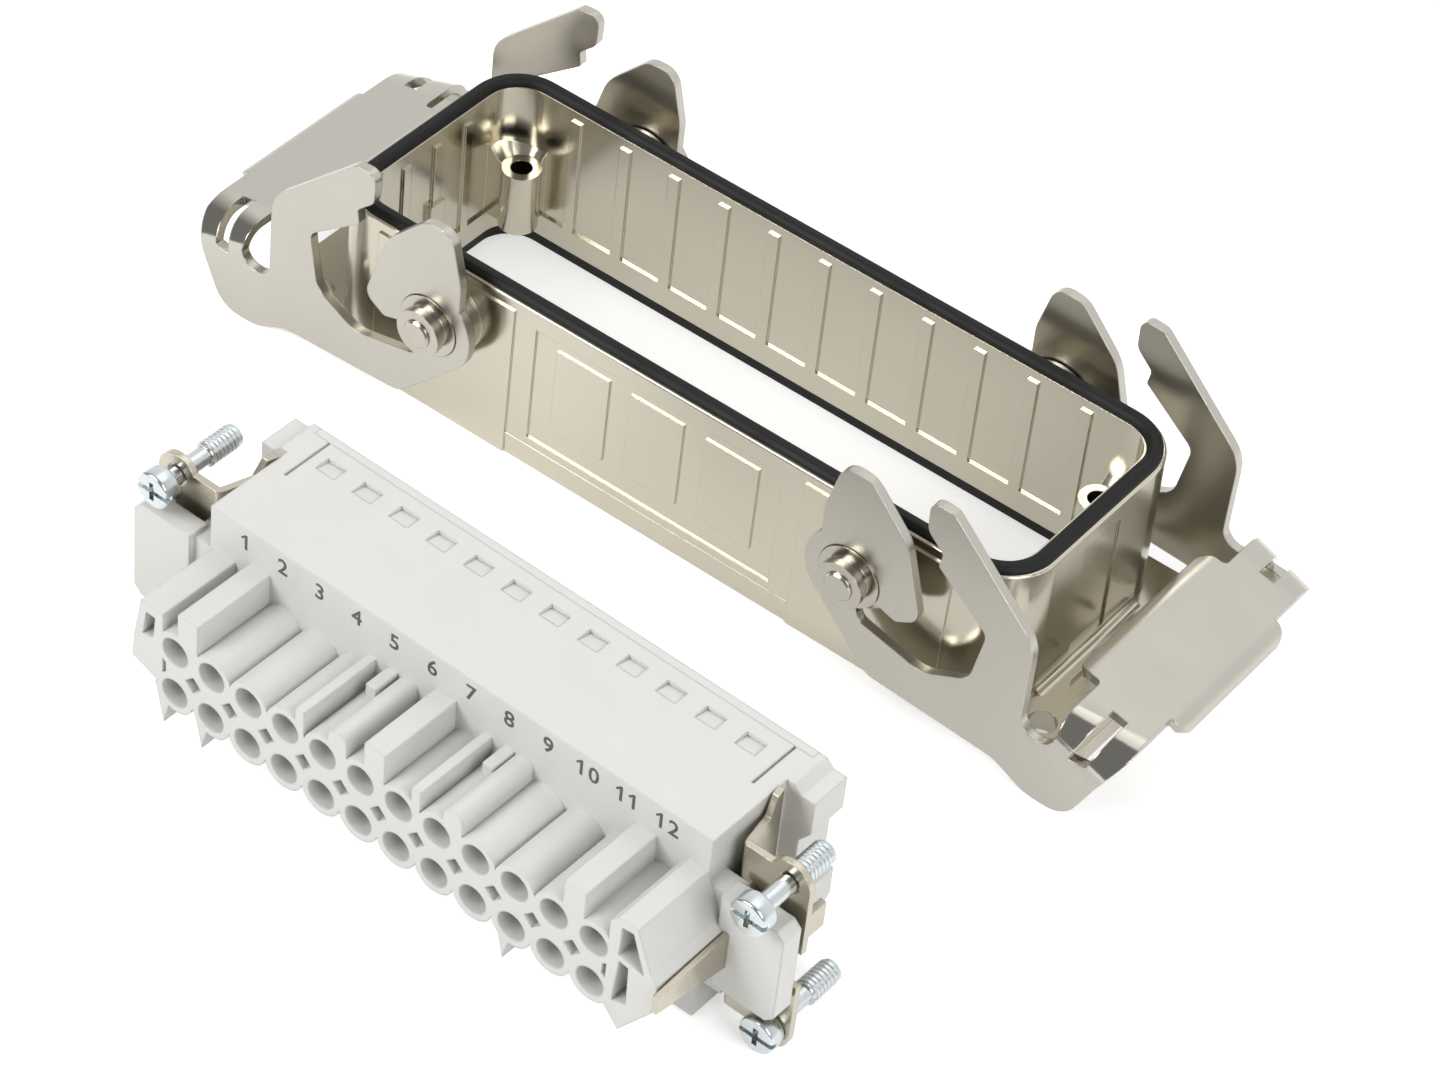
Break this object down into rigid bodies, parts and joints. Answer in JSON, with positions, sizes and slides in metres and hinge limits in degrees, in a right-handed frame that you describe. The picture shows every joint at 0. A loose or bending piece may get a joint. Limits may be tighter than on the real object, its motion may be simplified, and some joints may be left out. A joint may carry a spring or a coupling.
{
  "type": "heavy duty rectangular connector",
  "caption": "Metal bulkhead housing for a rectangular multi-pole connector, with two swinging locking levers, and its grey female contact insert lying beside it.",
  "frame": {"origin": "middle of the four panel screw holes, on the underside of the flanges", "axes": "+X along the housing, +Y across it away from the insert, +Z out of its mouth"},
  "size_m": [0.1688, 0.1302, 0.0405],
  "materials": {
    "housing_nickel": "bright nickel plating on a die casting",
    "lever_nickel": "satin nickel plating on pressed steel",
    "pin_steel": "bright nickel plating, ground end",
    "bush_nickel": "turned, bright nickel plating",
    "seal_rubber": "matt black",
    "insert_plastic": "light grey moulded, fine grain",
    "contact_silver": "silver plated",
    "clamp_steel": "spring steel",
    "bracket_nickel": "bright nickel plated sheet",
    "screw_zinc": "blue zinc plated"
  },
  "bodies": {
    "housing": {"housing_shell": "housing_nickel", "rim_gasket": "seal_rubber", "panel_gasket": "seal_rubber", "pivot_pin_left_front": "pin_steel", "pivot_bush_left_front": "bush_nickel", "pivot_pin_left_rear": "pin_steel", "pivot_bush_left_rear": "bush_nickel", "pivot_pin_right_front": "pin_steel", "pivot_bush_right_front": "bush_nickel", "pivot_pin_right_rear": "pin_steel", "pivot_bush_right_rear": "bush_nickel", "contact_carrier": "insert_plastic", "rear_cover": "insert_plastic", "upper_contacts": "contact_silver", "lower_contacts": "contact_silver", "upper_wire_clamps": "clamp_steel", "lower_wire_clamps": "clamp_steel", "left_earth_bracket": "bracket_nickel", "right_earth_bracket": "bracket_nickel", "right_earth_blade": "bracket_nickel"},
    "right_lever": {"right_lever": "lever_nickel"},
    "left_lever": {"left_lever": "lever_nickel"},
    "upper_right_screw": {"upper_right_screw": "screw_zinc"},
    "lower_right_screw": {"lower_right_screw": "screw_zinc"},
    "upper_left_screw": {"upper_left_screw": "screw_zinc"},
    "lower_left_screw": {"lower_left_screw": "screw_zinc"}
  },
  "joints": [
    {"name": "right_lever_swing", "type": "hinge", "parent": "housing", "child": "right_lever", "pos_m": [0.0371, 0, 0.0195], "axis": [0, -1, 0], "range_deg": [0, 60]},
    {"name": "left_lever_swing", "type": "hinge", "parent": "housing", "child": "left_lever", "pos_m": [-0.0371, 0, 0.0195], "axis": [0, 1, 0], "range_deg": [0, 60]},
    {"name": "upper_right_screw_float", "type": "slide", "parent": "housing", "child": "upper_right_screw", "axis": [0.0279, 0.9996, 0], "range_m": [-0.0004, 0.0056]},
    {"name": "lower_right_screw_float", "type": "slide", "parent": "housing", "child": "lower_right_screw", "axis": [0.0279, 0.9996, 0], "range_m": [-0.006, 0]},
    {"name": "upper_left_screw_float", "type": "slide", "parent": "housing", "child": "upper_left_screw", "axis": [0.0279, 0.9996, 0], "range_m": [-0.004, 0.002]},
    {"name": "lower_left_screw_float", "type": "slide", "parent": "housing", "child": "lower_left_screw", "axis": [0.0279, 0.9996, 0], "range_m": [-0.006, 0]}
  ]
}
